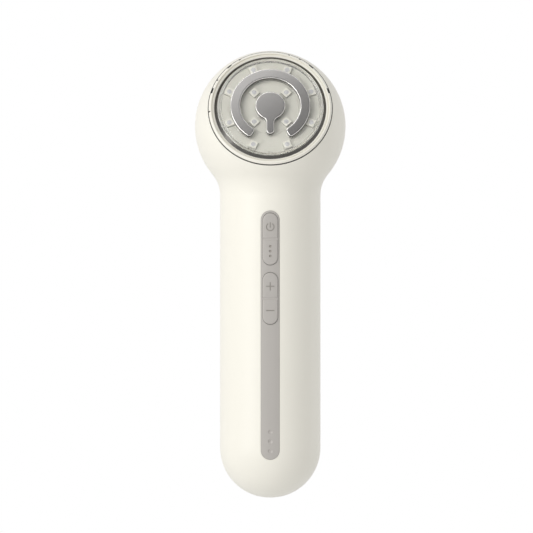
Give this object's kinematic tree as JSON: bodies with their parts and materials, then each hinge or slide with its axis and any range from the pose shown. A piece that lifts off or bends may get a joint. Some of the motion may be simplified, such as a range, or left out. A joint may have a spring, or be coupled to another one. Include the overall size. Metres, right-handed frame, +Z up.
{
  "type": "facial toning device",
  "caption": "Hand-held facial toning device: round handle with a control strip and a ball-shaped head whose tilted face carries metal electrodes and lamps.",
  "frame": {"origin": "bottom pole of the handle's round end, on the handle's axis, where a cup stand holds it", "axes": "+Z up along the handle towards the head; -Y is the front, with the control strip and the treatment face; +X is the viewer's right"},
  "size_m": [0.06, 0.0563, 0.1779],
  "materials": {
    "cream_plastic": "soft-touch satin, ivory",
    "taupe_plastic": "satin taupe",
    "dark_polished_metal": "polished dark nickel",
    "clear_cover": "clear moulded plastic",
    "clear_guide": "clear moulded plastic",
    "satin_steel": "satin faces with polished bevels",
    "lamp_white": "glossy off-white",
    "green_board": "glossy solder mask",
    "white_board": "glossy white solder mask, as on lamp boards",
    "black_seal": "matt",
    "grey_nylon": "moulded, matt",
    "bright_steel": "bright",
    "nickel_strip": "rolled",
    "black_plastic": "moulded",
    "amber_film": "polyimide film",
    "wound_core": "ferrite with a copper winding",
    "blue_sleeve": "shrink sleeve over the metal can; a cell weighs about as much as solid aluminium of its size",
    "heavy_metal": "sintered"
  },
  "bodies": {
    "casing": {"front_shell": "cream_plastic", "rear_shell": "cream_plastic", "head_bezel": "cream_plastic", "port_insert": "cream_plastic", "led_plate": "cream_plastic", "strip_panel": "taupe_plastic", "trim_ring": "dark_polished_metal", "lens_cover": "clear_cover", "light_pipe": "clear_guide", "arc_electrode": "satin_steel", "keyhole_electrode": "satin_steel", "leds": "lamp_white", "indicator_leds": "lamp_white", "main_board": "green_board", "charge_board": "green_board", "led_board": "white_board", "head_seal": "black_seal", "motor_boot": "black_seal", "battery_pads": "black_seal", "head_carrier": "grey_nylon", "handle_chassis": "grey_nylon", "electrode_nuts": "bright_steel", "carrier_screws": "bright_steel", "chassis_screws": "bright_steel", "small_screws": "bright_steel", "key_pins": "bright_steel", "usb_socket": "bright_steel", "motor_can": "bright_steel", "motor_clamp": "bright_steel", "battery_tabs": "nickel_strip", "board_components": "black_plastic", "tact_switches": "black_plastic", "usb_tongue": "black_plastic", "temperature_sensor": "black_plastic", "head_flex": "amber_film", "charge_flex": "amber_film", "rf_transformer": "wound_core", "battery_cell": "blue_sleeve"},
    "power_key": {"power_mode_key": "taupe_plastic"},
    "level_key_body": {"level_key": "taupe_plastic"},
    "motor_rotor": {"motor_weight": "heavy_metal"}
  },
  "joints": [
    {"name": "rocker_power_mode", "type": "hinge", "parent": "casing", "child": "power_key", "pos_m": [0, -0.0162, 0.10303], "axis": [1, 0, 0], "range_deg": [-1.8, 1.8], "stiffness_Nm_per_rad": 0.34},
    {"name": "rocker_level", "type": "hinge", "parent": "casing", "child": "level_key_body", "pos_m": [0, -0.0162, 0.07943], "axis": [1, 0, 0], "range_deg": [-1.8, 1.8], "stiffness_Nm_per_rad": 0.34},
    {"name": "motor_spin", "type": "hinge", "parent": "casing", "child": "motor_rotor", "pos_m": [0, 0.008, 0.15], "axis": [1, 0, 0], "continuous": true}
  ]
}
